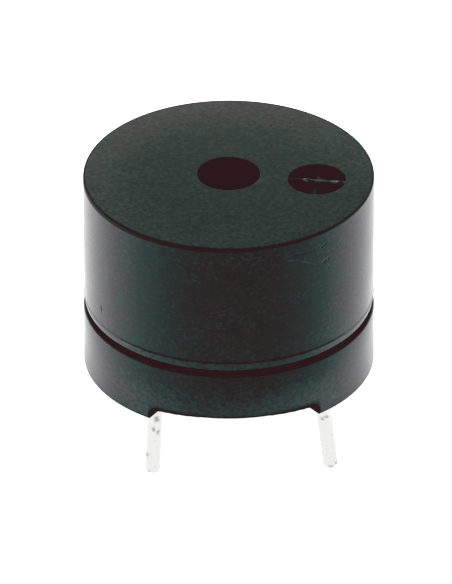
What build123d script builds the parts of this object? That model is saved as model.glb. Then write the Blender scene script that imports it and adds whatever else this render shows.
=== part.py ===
from build123d import *
from math import cos, radians, sin
import os

# Magnetic buzzer of the 12 mm through-hole size, with its inner parts.
# The origin is where the case's axis meets the plane that the two lugs stand on.
# Z goes up along that axis, and X goes towards the positive pin. Lengths are in millimetres.

# Housing outside
case_radius = 6.0
lug_height = 0.6
base_height = 2.6
seam_gap = 0.26
upper_case_height = 5.84
lug_half_angle = 54.4
notch_corner_radius = 0.25
outer_edge_break = 0.06

# Upper case
skirt_wall = 0.7
joint_clearance = 0.05
seat_width = 0.35
top_thickness = 0.9
top_edge_break = 0.1
parting_step = 0.025
parting_facet = 0.03
band_height = 0.42
band_inset = 0.07
lead_in = 0.1
sound_hole_radius = 1.29
sound_hole_break = 0.03
neck_wall = 0.5
neck_length = 0.8
ceiling_corner_break = 0.2
mark_edge_gap = 1.17
mark_radius = 1.19
mark_depth = 0.45
mark_turn = -10.0
rib_crest_width = 0.1
rib_root_width = 0.34
rib_crest_drop = 0.03

# Lower case
spigot_height = 2.4
spigot_wall = 0.65
foot_wall = 1.0
board_recess_depth = 1.2
ledge_width = 0.35
ledge_depth = 0.4

# Circuit board
board_thickness = 0.8
board_clearance = 0.05
hole_clearance = 0.05
copper_thickness = 0.04
track_width = 0.6
land_radius = 0.75
pad_radius = 0.5

# Magnet circuit and coil
yoke_thickness = 0.65
yoke_clearance = 0.1
pin_head_clearance = 0.35
core_radius = 1.0
shank_radius = 0.7
rivet_radius = 0.9
rivet_height = 0.2
rivet_clearance = 0.2
air_gap = 0.3
core_edge_break = 0.08
coil_clearance = 0.03
coil_end_drop = 0.2
coil_space = 0.4
magnet_margin = 0.1
magnet_wall = 1.0
magnet_height = 1.5
magnet_edge_break = 0.1

# Diaphragm
diaphragm_thickness = 0.06
diaphragm_clearance = 0.05
armature_radius = 1.7
armature_thickness = 0.25
armature_edge_break = 0.05

# Pins and their solder
pin_board_margin = 1.7
pin_pair_offset = 0.32
pin_radius = 0.3
pin_leg_length = 6.05
pin_head_rise = 0.2
pin_tip_round = 0.2
pin_bend_radius = 1.0
positive_lean_angle = 6.4
negative_lean_angle = 2.6
solder_height = 0.5
solder_rim = 0.05
solder_collar = 0.04
solder_knee_height = 0.16
solder_knee_width = 0.16
bend_below_solder = 0.08

# Coil leads and their solder
lead_radius = 0.06
lead_gap = 0.16
lead_angle = 55.0
lead_wrap_angle = 18.0
lead_rise = 0.5
lead_tail = 0.1
lead_hole_clearance = 0.1
dot_height = 0.22
dot_rim = 0.06
dot_shoulder_height = 0.1

# Sealing compound
seal_width = 0.5
seal_height = 0.3

# Half the thickness of the slice that picks edges at one height
near = 0.001

# Heights that follow
case_bottom_z = base_height + seam_gap
top_z = case_bottom_z + upper_case_height
ceiling_z = top_z - top_thickness
spigot_top_z = base_height + spigot_height
ledge_z = spigot_top_z - ledge_depth
board_top_z = lug_height + board_recess_depth
board_bottom_z = board_top_z - board_thickness
land_bottom_z = board_bottom_z - copper_thickness
yoke_top_z = board_top_z + yoke_thickness
core_top_z = ledge_z - air_gap
coil_top_z = core_top_z - coil_end_drop
diaphragm_top_z = ledge_z + diaphragm_thickness
solder_tip_z = land_bottom_z - solder_height
pin_bend_z = solder_tip_z - bend_below_solder

# Radii that follow
wall_radius = case_radius - parting_step
skirt_bore_radius = case_radius - skirt_wall
spigot_radius = skirt_bore_radius - joint_clearance
cavity_radius = spigot_radius - seat_width
bore_radius = spigot_radius - spigot_wall
ledge_bore_radius = bore_radius + ledge_width
recess_radius = case_radius - foot_wall
board_radius = recess_radius - board_clearance
yoke_radius = bore_radius - yoke_clearance
magnet_radius = yoke_radius - magnet_margin
magnet_bore_radius = magnet_radius - magnet_wall
coil_outer_radius = magnet_bore_radius - coil_space
coil_inner_radius = core_radius + coil_clearance
lead_offset = coil_outer_radius + lead_radius + lead_gap
diaphragm_radius = ledge_bore_radius - diaphragm_clearance
mark_offset = case_radius - mark_edge_gap - mark_radius
pin_offset = board_radius - pin_board_margin

# The pins' places: both stand a little off the case's axis, towards the positive side
pin_places = (
    (pin_pair_offset + pin_offset, 0),
    (pin_pair_offset - pin_offset, 0),
)

os.makedirs("parts", exist_ok=True)

# Upper case: a cup with a stepped bore, a neck under the sound hole and a band below its parting line
with BuildPart() as upper_case:
    with BuildSketch(Plane.XZ):
        with BuildLine():
            Polyline(
                (skirt_bore_radius + lead_in, case_bottom_z),
                (case_radius - band_inset, case_bottom_z),
                (case_radius, case_bottom_z + band_height - parting_facet),
                (wall_radius, case_bottom_z + band_height),
                (wall_radius, top_z),
                (sound_hole_radius, top_z),
                (sound_hole_radius, ceiling_z - neck_length),
                (sound_hole_radius + neck_wall, ceiling_z - neck_length),
                (sound_hole_radius + neck_wall, ceiling_z),
                (cavity_radius, ceiling_z),
                (cavity_radius, spigot_top_z),
                (skirt_bore_radius, spigot_top_z),
                (skirt_bore_radius, case_bottom_z + lead_in),
                close=True,
            )
        make_face()
    revolve(axis=Axis.Z)
    chamfer(upper_case.edges().group_by(Axis.Z)[-1].sort_by(SortBy.RADIUS)[-1], length=top_edge_break)
    chamfer(upper_case.edges().group_by(Axis.Z)[-1].sort_by(SortBy.RADIUS)[0], length=sound_hole_break)
    ceiling_edges = upper_case.edges().filter_by(GeomType.CIRCLE).filter_by_position(
        Axis.Z, ceiling_z - near, ceiling_z + near
    )
    chamfer(ceiling_edges, length=ceiling_corner_break)

    # Polarity mark: a round recess, crossed by two ribs that stop just under the face
    mark_centre = (
        mark_offset * cos(radians(mark_turn)),
        mark_offset * sin(radians(mark_turn)),
    )
    with BuildSketch(Plane.XY.offset(top_z)):
        with Locations(mark_centre):
            Circle(mark_radius)
    extrude(amount=-mark_depth, mode=Mode.SUBTRACT)
    for rib_turn in (mark_turn, mark_turn + 90):
        rib_plane = Plane(
            origin=(*mark_centre, top_z - mark_depth),
            x_dir=(-sin(radians(rib_turn)), cos(radians(rib_turn)), 0),
            z_dir=(cos(radians(rib_turn)), sin(radians(rib_turn)), 0),
        )
        with BuildSketch(rib_plane):
            with BuildLine():
                Polyline(
                    (-rib_root_width / 2, 0),
                    (rib_root_width / 2, 0),
                    (rib_crest_width / 2, mark_depth - rib_crest_drop),
                    (-rib_crest_width / 2, mark_depth - rib_crest_drop),
                    close=True,
                )
            make_face()
        extrude(amount=mark_radius + rib_crest_width, both=True)
upper_case.part.label = "upper_case"
export_step(upper_case.part, "parts/upper_case.step")

# Lower case: a ring that stands on two lugs, with a spigot that the upper case sits on
with BuildPart() as lower_case:
    with BuildSketch(Plane.XZ):
        with BuildLine():
            Polyline(
                (recess_radius, 0),
                (case_radius, 0),
                (case_radius, base_height),
                (spigot_radius, base_height),
                (spigot_radius, spigot_top_z),
                (ledge_bore_radius, spigot_top_z),
                (ledge_bore_radius, ledge_z),
                (bore_radius, ledge_z),
                (bore_radius, board_top_z),
                (recess_radius, board_top_z),
                close=True,
            )
        make_face()
    revolve(axis=Axis.Z)
    seam_edges = lower_case.edges().filter_by(GeomType.CIRCLE).filter_by_position(
        Axis.Z, base_height - near, base_height + near
    )
    chamfer(seam_edges.sort_by(SortBy.RADIUS)[-1], length=outer_edge_break)
    spigot_rim = lower_case.edges().group_by(Axis.Z)[-1].sort_by(SortBy.RADIUS)[-1]
    chamfer(spigot_rim, length=lead_in)

    # Two shallow notches between the lugs, with radial ends and rounded inner corners
    notch_reach = 2 * case_radius
    notch_end = (notch_reach * cos(radians(lug_half_angle)), notch_reach * sin(radians(lug_half_angle)))
    with BuildSketch(Plane.XY):
        with BuildLine():
            Polyline((0, 0), notch_end, (-notch_end[0], notch_end[1]), close=True)
        make_face()
        mirror(about=Plane.XZ)
    extrude(amount=lug_height, mode=Mode.SUBTRACT)
    notch_corners = lower_case.edges().filter_by(GeomType.LINE).filter_by_position(
        Axis.Z, lug_height - near, lug_height + near
    )
    fillet(notch_corners, radius=notch_corner_radius)
lower_case.part.label = "lower_case"
export_step(lower_case.part, "parts/lower_case.step")

# Circuit board: a disc with holes for the pins, the leads and the rivet
with BuildPart() as circuit_board:
    with BuildSketch(Plane.XY.offset(board_bottom_z)):
        Circle(board_radius)
        Circle(rivet_radius + rivet_clearance, mode=Mode.SUBTRACT)
        with Locations(*pin_places):
            Circle(pin_radius + hole_clearance, mode=Mode.SUBTRACT)
        with PolarLocations(lead_offset, 2, start_angle=lead_angle):
            Circle(lead_radius + lead_hole_clearance, mode=Mode.SUBTRACT)
    extrude(amount=board_thickness)
circuit_board.part.label = "circuit_board"
export_step(circuit_board.part, "parts/circuit_board.step")

# Yoke plate: a steel disc on the board, with room for the pin heads and the leads
with BuildPart() as yoke_plate:
    with BuildSketch(Plane.XY.offset(board_top_z)):
        Circle(yoke_radius)
        Circle(shank_radius, mode=Mode.SUBTRACT)
        with Locations(*pin_places):
            Circle(pin_radius + pin_head_clearance, mode=Mode.SUBTRACT)
        with PolarLocations(lead_offset, 2, start_angle=lead_angle):
            Circle(lead_radius + 2 * lead_hole_clearance, mode=Mode.SUBTRACT)
    extrude(amount=yoke_thickness)
yoke_plate.part.label = "yoke_plate"
export_step(yoke_plate.part, "parts/yoke_plate.step")

# Pole core: a steel post with a thinner shank, riveted over under the yoke plate
with BuildPart() as pole_core:
    with BuildSketch(Plane.XZ):
        with BuildLine():
            Polyline(
                (0, board_top_z - rivet_height),
                (rivet_radius, board_top_z - rivet_height),
                (rivet_radius, board_top_z),
                (shank_radius, board_top_z),
                (shank_radius, yoke_top_z),
                (core_radius, yoke_top_z),
                (core_radius, core_top_z),
                (0, core_top_z),
                close=True,
            )
        make_face()
    revolve(axis=Axis.Z)
    chamfer(pole_core.edges().group_by(Axis.Z)[-1], length=core_edge_break)
pole_core.part.label = "pole_core"
export_step(pole_core.part, "parts/pole_core.step")

# Coil winding: enamelled wire round the core, wound level and smooth
with BuildPart() as coil_winding:
    with BuildSketch(Plane.XY.offset(yoke_top_z)):
        Circle(coil_outer_radius)
        Circle(coil_inner_radius, mode=Mode.SUBTRACT)
    extrude(amount=coil_top_z - yoke_top_z)
coil_winding.part.label = "coil_winding"
export_step(coil_winding.part, "parts/coil_winding.step")

# Ring magnet: round the coil, on the yoke plate
with BuildPart() as ring_magnet:
    with BuildSketch(Plane.XY.offset(yoke_top_z)):
        Circle(magnet_radius)
        Circle(magnet_bore_radius, mode=Mode.SUBTRACT)
    extrude(amount=magnet_height)
    chamfer(ring_magnet.edges().group_by(Axis.Z)[-1], length=magnet_edge_break)
ring_magnet.part.label = "ring_magnet"
export_step(ring_magnet.part, "parts/ring_magnet.step")

# Diaphragm: lies on the ledge at the top of the spigot
with BuildPart() as diaphragm:
    with BuildSketch(Plane.XY.offset(ledge_z)):
        Circle(diaphragm_radius)
    extrude(amount=diaphragm_thickness)
diaphragm.part.label = "diaphragm"
export_step(diaphragm.part, "parts/diaphragm.step")

# Armature disc: welded to the middle of the diaphragm
with BuildPart() as armature_disc:
    with BuildSketch(Plane.XY.offset(diaphragm_top_z)):
        Circle(armature_radius)
    extrude(amount=armature_thickness)
    chamfer(armature_disc.edges().group_by(Axis.Z)[-1], length=armature_edge_break)
armature_disc.part.label = "armature_disc"
export_step(armature_disc.part, "parts/armature_disc.step")

# Sealing compound: a sloping bead between the board and the wall of its recess
with BuildPart() as sealing_compound:
    with BuildSketch(Plane.XZ):
        with BuildLine():
            Polyline(
                (recess_radius, board_bottom_z - seal_height),
                (recess_radius, board_bottom_z),
                (recess_radius - seal_width, board_bottom_z),
                close=True,
            )
        make_face()
    revolve(axis=Axis.Z)
sealing_compound.part.label = "sealing_compound"
export_step(sealing_compound.part, "parts/sealing_compound.step")

# The two sides of the circuit, the second turned half round from the first
for side, lean, pin_name, lead_name in (
    (1, positive_lean_angle, "positive", "coil_start"),
    (-1, negative_lean_angle, "negative", "coil_finish"),
):
    upright = Plane(origin=(0, 0, 0), x_dir=(side, 0, 0), z_dir=(0, -side, 0))
    under_board = Plane(origin=(0, 0, board_bottom_z), x_dir=(side, 0, 0), z_dir=(0, 0, 1))
    pin_x = pin_offset + side * pin_pair_offset
    pin_side_x = pin_x + pin_radius
    solder_base_x = pin_x + land_radius - solder_rim
    lead_place = (lead_offset * cos(radians(lead_angle)), lead_offset * sin(radians(lead_angle)))

    # Pin: straight through the board, then bent outwards just below its solder
    pin_tip_x = pin_x + pin_leg_length * sin(radians(lean))
    pin_tip_z = pin_bend_z - pin_leg_length * cos(radians(lean))
    with BuildPart() as pin:
        with BuildLine(upright) as pin_route:
            FilletPolyline(
                (pin_x, board_top_z + pin_head_rise),
                (pin_x, pin_bend_z),
                (pin_tip_x, pin_tip_z),
                radius=pin_bend_radius,
            )
        with BuildSketch(Plane(pin_route.line @ 0, z_dir=pin_route.line % 0)):
            Circle(pin_radius)
        sweep()
        fillet(pin.edges().group_by(Axis.Z)[0], radius=pin_tip_round)
    pin.part.label = f"{pin_name}_pin"
    export_step(pin.part, f"parts/{pin_name}_pin.step")

    # Copper land: a ring for the pin, a pad for the lead and a track from one to the other
    with BuildPart() as land:
        with BuildSketch(under_board):
            with BuildLine():
                Line((pin_x, 0), lead_place)
            trace(line_width=track_width)
            with Locations((pin_x, 0)):
                Circle(land_radius)
                Circle(pin_radius + hole_clearance, mode=Mode.SUBTRACT)
            with Locations(lead_place):
                Circle(pad_radius)
                Circle(lead_radius + lead_hole_clearance, mode=Mode.SUBTRACT)
        extrude(amount=-copper_thickness)
    land.part.label = f"{pin_name}_land"
    export_step(land.part, f"parts/{pin_name}_land.step")

    # Pin solder: a cone that spreads on the land and grows steep along the pin
    with BuildPart() as pin_solder:
        with BuildSketch(upright):
            with BuildLine():
                Polyline(
                    (pin_side_x, solder_tip_z),
                    (pin_side_x, land_bottom_z),
                    (solder_base_x, land_bottom_z),
                    (pin_side_x + solder_knee_width, land_bottom_z - solder_knee_height),
                    (pin_side_x + solder_collar, solder_tip_z),
                    close=True,
                )
            make_face()
        revolve(axis=Axis((side * pin_x, 0, 0), (0, 0, 1)))
    pin_solder.part.label = f"{pin_name}_pin_solder"
    export_step(pin_solder.part, f"parts/{pin_name}_pin_solder.step")

    # Coil lead: off the side of the winding, then down through the yoke plate, the board and its dot
    lead_top = Vector(side * lead_place[0], side * lead_place[1], yoke_top_z + lead_rise)
    wrap_turn = radians(lead_angle + lead_wrap_angle)
    wrap_radius = coil_outer_radius + lead_radius
    wrap_end = Vector(side * wrap_radius * cos(wrap_turn), side * wrap_radius * sin(wrap_turn), lead_top.Z)
    lead_run = lead_top - wrap_end
    lead_plane = Plane(origin=lead_top, x_dir=lead_run, z_dir=lead_run.cross(Vector(0, 0, 1)))
    with BuildPart() as lead:
        with BuildLine(lead_plane) as lead_route:
            Polyline(
                (-lead_run.length, 0),
                (0, 0),
                (0, land_bottom_z - dot_height - lead_tail - lead_top.Z),
            )
        with BuildSketch(Plane(lead_route.line @ 0, z_dir=lead_route.line % 0)):
            Circle(lead_radius)
        sweep(transition=Transition.RIGHT)
    lead.part.label = f"{lead_name}_lead"
    export_step(lead.part, f"parts/{lead_name}_lead.step")

    # Lead solder: a low dot with a sloping shoulder and the lead's tail sticking out
    dot_plane = Plane(origin=(lead_top.X, lead_top.Y, 0), x_dir=(1, 0, 0), z_dir=(0, -1, 0))
    with BuildPart() as lead_solder:
        with BuildSketch(dot_plane):
            with BuildLine():
                Polyline(
                    (lead_radius, land_bottom_z - dot_height),
                    (lead_radius, land_bottom_z),
                    (pad_radius - dot_rim, land_bottom_z),
                    (pad_radius - 2 * dot_rim, land_bottom_z - dot_shoulder_height),
                    close=True,
                )
            make_face()
        revolve(axis=Axis((lead_top.X, lead_top.Y, 0), (0, 0, 1)))
    lead_solder.part.label = f"{lead_name}_solder"
    export_step(lead_solder.part, f"parts/{lead_name}_solder.step")
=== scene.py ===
"""The looks of a magnetic buzzer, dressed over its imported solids.

The two halves of the case, the pins and the solder are modelled again with rounded edges and stand for
their CAD nodes. Every other node keeps its own mesh and gets a material. Sizes are in millimetres and
become metres where a piece is made. X runs towards the positive pin, and the camera looks along +Y.
"""

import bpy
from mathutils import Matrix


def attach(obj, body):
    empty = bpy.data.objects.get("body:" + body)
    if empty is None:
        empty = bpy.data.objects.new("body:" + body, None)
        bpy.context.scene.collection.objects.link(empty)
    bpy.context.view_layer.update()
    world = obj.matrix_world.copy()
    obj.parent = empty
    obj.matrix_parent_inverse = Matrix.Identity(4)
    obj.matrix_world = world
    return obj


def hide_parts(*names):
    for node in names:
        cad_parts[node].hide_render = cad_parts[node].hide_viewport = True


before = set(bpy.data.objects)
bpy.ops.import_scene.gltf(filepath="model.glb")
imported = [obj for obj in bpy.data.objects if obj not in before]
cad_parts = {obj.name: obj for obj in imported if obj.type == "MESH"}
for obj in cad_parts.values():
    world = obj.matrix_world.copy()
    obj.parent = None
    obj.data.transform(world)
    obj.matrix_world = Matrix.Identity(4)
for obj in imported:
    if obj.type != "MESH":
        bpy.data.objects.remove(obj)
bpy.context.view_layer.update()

import logging
import math
from collections.abc import Callable, Iterable
from dataclasses import dataclass
from enum import Enum
from functools import reduce
from typing import Any, ClassVar

import bmesh
import bpy
from mathutils import Quaternion, Vector

Piece = bpy.types.Object
Material = bpy.types.Material
Socket = bpy.types.NodeSocket
Colour = tuple[float, float, float]
Place = tuple[float, float, float]
Outline = list[tuple[float, float]]
Curve = tuple[tuple[float, float], ...]

MM = 0.001  # metres
BODY = "root"
BLACK: Colour = (0.0, 0.0, 0.0)
WHITE: Colour = (1.0, 1.0, 1.0)
UP = Vector((0.0, 0.0, 1.0))
SOFT = 0.02  # how softly a worn strip or a band ends, in millimetres
log = logging.getLogger("buzzer")


def heading(turn: float) -> Vector:
    """A level step of length 1, turned by an angle in radians from the positive pin's side."""
    return Vector((math.cos(turn), math.sin(turn), 0.0))


class Pick(Enum):
    """What a selection in edit mode is made of."""

    POINTS = "VERT"
    EDGES = "EDGE"
    FACES = "FACE"


class Workbench:
    """The edit-mode moves that every modelled piece shares. Lengths are in millimetres."""

    @staticmethod
    def clear() -> None:
        """Deselects everything, so that the next operator acts on one piece alone."""
        bpy.ops.object.select_all(action="DESELECT")

    @staticmethod
    def hold(piece: Piece) -> None:
        """Makes one piece the only selected and active one.

        Args:
            piece: The object to work on.
        """
        Workbench.clear()
        piece.select_set(True)
        bpy.context.view_layer.objects.active = piece

    @staticmethod
    def edit() -> None:
        """Goes into edit mode on the active piece."""
        bpy.ops.object.mode_set(mode="EDIT")

    @staticmethod
    def done() -> None:
        """Goes back to object mode."""
        bpy.ops.object.mode_set(mode="OBJECT")

    @staticmethod
    def pick(kind: Pick, test: Callable[[Vector], bool]) -> None:
        """Selects in edit mode what passes a test.

        Args:
            kind: Whether points, edges or faces are picked.
            test: Takes an element's middle in millimetres.
        """
        piece = bpy.context.edit_object
        bpy.ops.mesh.select_mode(type=kind.value)
        bpy.ops.mesh.select_all(action="DESELECT")
        shape = bmesh.from_edit_mesh(piece.data)
        for element in {Pick.POINTS: shape.verts, Pick.EDGES: shape.edges, Pick.FACES: shape.faces}[kind]:
            points = [element] if kind is Pick.POINTS else element.verts
            if test(sum((piece.matrix_world @ v.co for v in points), Vector()) / len(points) / MM):
                element.select_set(True)
        shape.select_flush_mode()
        bmesh.update_edit_mesh(piece.data)

    @staticmethod
    def move(step: Iterable[float]) -> None:
        """Moves what is selected in edit mode."""
        bpy.ops.transform.translate(value=[s * MM for s in step])

    @staticmethod
    def extrude(step: Iterable[float]) -> None:
        """Extrudes the selected faces in edit mode."""
        bpy.ops.mesh.extrude_region_move(TRANSFORM_OT_translate={"value": [s * MM for s in step]})

    @staticmethod
    def pick_all() -> None:
        """Selects the whole mesh in edit mode."""
        bpy.ops.mesh.select_all(action="SELECT")

    @staticmethod
    def weld(reach: float) -> None:
        """Merges the doubles of the whole mesh in edit mode and turns its faces outwards.

        Args:
            reach: How far apart doubles may lie.
        """
        Workbench.pick_all()
        bpy.ops.mesh.remove_doubles(threshold=reach * MM)
        bpy.ops.mesh.normals_make_consistent(inside=False)

    @staticmethod
    def apply(piece: Piece, kind: str, **settings: Any) -> None:
        """Adds a modifier to a piece and applies it at once.

        Args:
            piece: The object that is changed.
            kind: Blender's name of the modifier.
            **settings: The modifier's own settings.
        """
        Workbench.hold(piece)
        modifier = piece.modifiers.new(kind, kind)
        for key, value in settings.items():
            setattr(modifier, key, value)
        bpy.ops.object.modifier_apply(modifier=modifier.name)

    @staticmethod
    def cut(piece: Piece, tool: Piece) -> None:
        """Cuts one piece with another, which is used up.

        Args:
            piece: The object that loses material.
            tool: The object that takes it away and is then removed.
        """
        Workbench.apply(piece, "BOOLEAN", operation="DIFFERENCE", object=tool, solver="EXACT")
        spent = tool.data
        bpy.data.objects.remove(tool)
        bpy.data.meshes.remove(spent)

    @staticmethod
    def settle(piece: Piece, name: str, sharp: float = 35.0) -> Piece:
        """Merges doubles, turns faces outwards, applies the place and smooths all but the sharp edges.

        Args:
            piece: The object to finish.
            name: Its name.
            sharp: The angle in degrees from which an edge stays sharp.

        Returns:
            The same object.
        """
        Workbench.hold(piece)
        Workbench.edit()
        Workbench.weld(0.0002)
        Workbench.done()
        bpy.ops.object.transform_apply(location=True, rotation=True, scale=True)
        bpy.ops.object.shade_smooth_by_angle(angle=math.radians(sharp))
        Workbench.apply(piece, "WEIGHTED_NORMAL", keep_sharp=True)
        piece.name = piece.data.name = name
        return piece


@dataclass
class Turning:
    """A solid turned from a closed outline of radii and heights.

    Attributes:
        outline: The corners as (radius, height) in millimetres, in order.
        rounds: How far the rounding of a corner reaches along its edges, by the corner's number.
        steps: How many steps make the full turn.
        axis: Where the axis stands, as x and y in millimetres.
    """

    outline: Outline
    rounds: dict[int, float]
    steps: int = 192
    axis: tuple[float, float] = (0.0, 0.0)

    def make(self) -> Piece:
        """Draws the outline point by point, rounds its corners and spins it.

        Returns:
            The solid, still to be settled.
        """
        Workbench.clear()
        x, y = self.axis
        radius, height = self.outline[0]
        bpy.ops.mesh.primitive_plane_add(size=MM, location=((x + radius) * MM, y * MM, height * MM))
        piece = bpy.context.object
        Workbench.edit()
        Workbench.pick(Pick.POINTS, lambda _: True)
        bpy.ops.mesh.merge(type="CENTER")
        for (r0, z0), (r1, z1) in zip(self.outline, self.outline[1:] + self.outline[:1]):
            step = ((r1 - r0) * MM, 0.0, (z1 - z0) * MM)
            bpy.ops.mesh.extrude_vertices_move(TRANSFORM_OT_translate={"value": step})
        Workbench.pick_all()
        bpy.ops.mesh.remove_doubles(threshold=0.001 * MM)
        for number, reach in self.rounds.items():
            corner = Vector((x + self.outline[number][0], y, self.outline[number][1]))
            Workbench.pick(Pick.POINTS, lambda middle: (middle - corner).length < 0.002)
            bpy.ops.mesh.bevel(offset=reach * MM, segments=5, affect="VERTICES")
        Workbench.pick_all()
        bpy.ops.mesh.spin(steps=self.steps, angle=math.tau, center=(x * MM, y * MM, 0.0), axis=UP)
        Workbench.weld(0.0005)
        Workbench.done()
        return piece


class Reading:
    """A number carried by a shader socket. Python's operators on it add Math nodes."""

    def __init__(self, board: "NodeBoard", socket: Socket) -> None:
        """Keeps the board and the socket."""
        self.board = board
        self.socket = socket

    def math(self, operation: str, *others: Any) -> "Reading":
        """Adds one Math node that takes self and then the others, which are numbers or readings."""
        return self.board.read("ShaderNodeMath", {"operation": operation}, dict(enumerate((self, *others))))

    def __add__(self, other: Any) -> "Reading":
        """self + other."""
        return self.math("ADD", other)

    __radd__ = __add__

    def __mul__(self, other: Any) -> "Reading":
        """self * other."""
        return self.math("MULTIPLY", other)

    __rmul__ = __mul__

    def __sub__(self, other: Any) -> "Reading":
        """self - other."""
        return self.math("SUBTRACT", other)

    def __rsub__(self, other: Any) -> "Reading":
        """other - self."""
        return self * -1.0 + other

    def __truediv__(self, other: Any) -> "Reading":
        """self / other."""
        return self.math("DIVIDE", other)

    def __pow__(self, other: Any) -> "Reading":
        """self to the power of other."""
        return self.math("POWER", other)

    def __abs__(self) -> "Reading":
        """The size of self without its sign."""
        return self.math("ABSOLUTE")

    def low_of(self, other: Any) -> "Reading":
        """The lower of two numbers."""
        return self.math("MINIMUM", other)

    def high_of(self, other: Any) -> "Reading":
        """The higher of two numbers."""
        return self.math("MAXIMUM", other)

    @staticmethod
    def squares(first: "Reading", *others: "Reading") -> "Reading":
        """The sum of the squares of some readings."""
        return sum((other * other for other in others), first * first)

    @staticmethod
    def length(*parts: "Reading") -> "Reading":
        """How long a step with these parts is."""
        return Reading.squares(*parts) ** 0.5

    def ease(self, start: float, end: float) -> "Reading":
        """A smooth step from 0 where self is start to 1 where it is end.

        Args:
            start: Where the step begins.
            end: Where it ends. It may lie below start.

        Returns:
            The step, from 0 to 1.
        """
        low, high = (0.0, 1.0) if start < end else (1.0, 0.0)
        values = {"From Min": min(start, end), "From Max": max(start, end), "To Min": low, "To Max": high}
        settings = {"interpolation_type": "SMOOTHSTEP"}
        return self.board.read("ShaderNodeMapRange", settings, {"Value": self, **values})


class NodeBoard:
    """The nodes of one material or world."""

    def __init__(self, tree: bpy.types.NodeTree) -> None:
        """Keeps the tree."""
        self.tree = tree

    def add(
        self, kind: str, settings: dict[str, Any] | None = None, values: dict[Any, Any] | None = None
    ) -> bpy.types.Node:
        """Adds any node, its settings first and its inputs after them.

        Args:
            kind: Blender's type of the node.
            settings: The node's own settings, such as a Math node's operation or a ramp's stops.
            values: A number, colour or link for each input, by its name or number.

        Returns:
            The node.
        """
        node = self.tree.nodes.new(kind)
        for key, value in (settings or {}).items():
            if key == "stops":
                ramp = node.color_ramp
                for element, (place, colour) in zip(list(ramp.elements), value):
                    element.position, element.color = place, (*colour, 1.0)
                for place, colour in value[len(ramp.elements) :]:
                    ramp.elements.new(place).color = (*colour, 1.0)
            else:
                setattr(node, key, value)
        for key, value in (values or {}).items():
            self.feed(node.inputs[key], value)
        return node

    def feed(self, socket: Socket, value: Any) -> None:
        """Sets a socket to a number or colour, or links it.

        Args:
            socket: The input.
            value: A number, a colour, a socket or a reading.
        """
        if isinstance(value, Reading):
            value = value.socket
        if isinstance(value, Socket):
            self.tree.links.new(value, socket)
        elif isinstance(value, tuple) and socket.type == "RGBA":
            socket.default_value = (*value, 1.0)
        else:
            socket.default_value = value

    def read(self, kind: str, settings: dict[str, Any] | None = None, values: Any = None) -> Reading:
        """Adds a node as add does and returns its first output."""
        return Reading(self, self.add(kind, settings, values).outputs[0])

    def split(self, vector: Socket) -> list[Reading]:
        """The three parts of a vector."""
        return [Reading(self, part) for part in self.add("ShaderNodeSeparateXYZ", values={0: vector}).outputs]

    def blend(self, share: Any, low: Any, high: Any, kind: str = "MIX") -> Socket:
        """Mixes two colours, low where share is 0 and high where it is 1, by the Mix node's kind."""
        settings = {"data_type": "RGBA", "blend_type": kind, "clamp_factor": True}
        return self.add("ShaderNodeMix", settings, {0: share, 6: low, 7: high}).outputs[2]


class Paint(NodeBoard):
    """The nodes of one material, with its Principled shader in place."""

    def __init__(self, name: str) -> None:
        """Starts a material.

        Args:
            name: The material's name.
        """
        self.material = bpy.data.materials.new(name)
        self.material.use_nodes = True
        super().__init__(self.material.node_tree)
        self.tree.nodes.clear()
        self.shader = self.add("ShaderNodeBsdfPrincipled")
        self.surface = self.add("ShaderNodeOutputMaterial").inputs["Surface"]
        self.feed(self.surface, self.shader.outputs[0])

    def set(self, name: str, value: Any) -> None:
        """Sets or links one input of the Principled shader."""
        self.feed(self.shader.inputs[name], value)

    def spot(self) -> Socket:
        """The point's place on the object as a vector, in millimetres."""
        where = self.add("ShaderNodeTexCoord").outputs["Object"]
        values = {0: where, "Scale": 1 / MM}
        return self.add("ShaderNodeVectorMath", {"operation": "SCALE"}, values).outputs[0]

    def place(self) -> list[Reading]:
        """The x, y and z of the point's place on the object, in millimetres."""
        return self.split(self.spot())

    def noise(
        self, size: float, shift: float, detail: float = 3.0, stretch: Place = (1.0, 1.0, 1.0)
    ) -> Reading:
        """Cloudy noise.

        Args:
            size: How wide its lumps are, in millimetres.
            shift: How far the pattern is moved, to tell one use from another.
            detail: How many finer layers it has.
            stretch: How many times longer its lumps are along each axis.

        Returns:
            The noise, mostly between 0.3 and 0.7.
        """
        values = {"Vector": self.spot(), "Scale": [1 / s for s in stretch], "Location": [shift] * 3}
        mapped = self.add("ShaderNodeMapping", values=values).outputs[0]
        values = {"Vector": mapped, "Scale": 1 / size, "Detail": detail, "Roughness": 0.55}
        return self.read("ShaderNodeTexNoise", values=values)

    def relief(self, height: Reading, depth: float) -> None:
        """Makes the surface follow a height, of which 1 stands for a depth in millimetres."""
        bump = self.add("ShaderNodeBump", values={"Height": height, "Distance": depth * MM})
        self.set("Normal", bump.outputs[0])

    def cover(self, share: Any, shader: bpy.types.Node) -> None:
        """Lays another shader over the Principled one, by a share from 0 to 1."""
        values = {0: share, 1: self.shader.outputs[0], 2: shader.outputs[0]}
        self.feed(self.surface, self.add("ShaderNodeMixShader", values=values).outputs[0])

    def finish(self, colour: Any, rough: Any, metal: float = 0.0) -> Material:
        """Sets what every finish has.

        Args:
            colour: The base colour.
            rough: The roughness.
            metal: How metallic it is, from 0 to 1.

        Returns:
            The material.
        """
        for name, value in (("Base Color", colour), ("Roughness", rough), ("Metallic", metal)):
            self.set(name, value)
        return self.material


class Mark(Enum):
    """What a mark on the plastic adds to its tone, its roughness and its height."""

    GOUGE = (-0.02, 0.35, -6.0)
    RUB = (0.08, 0.15, 1.0)


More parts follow.
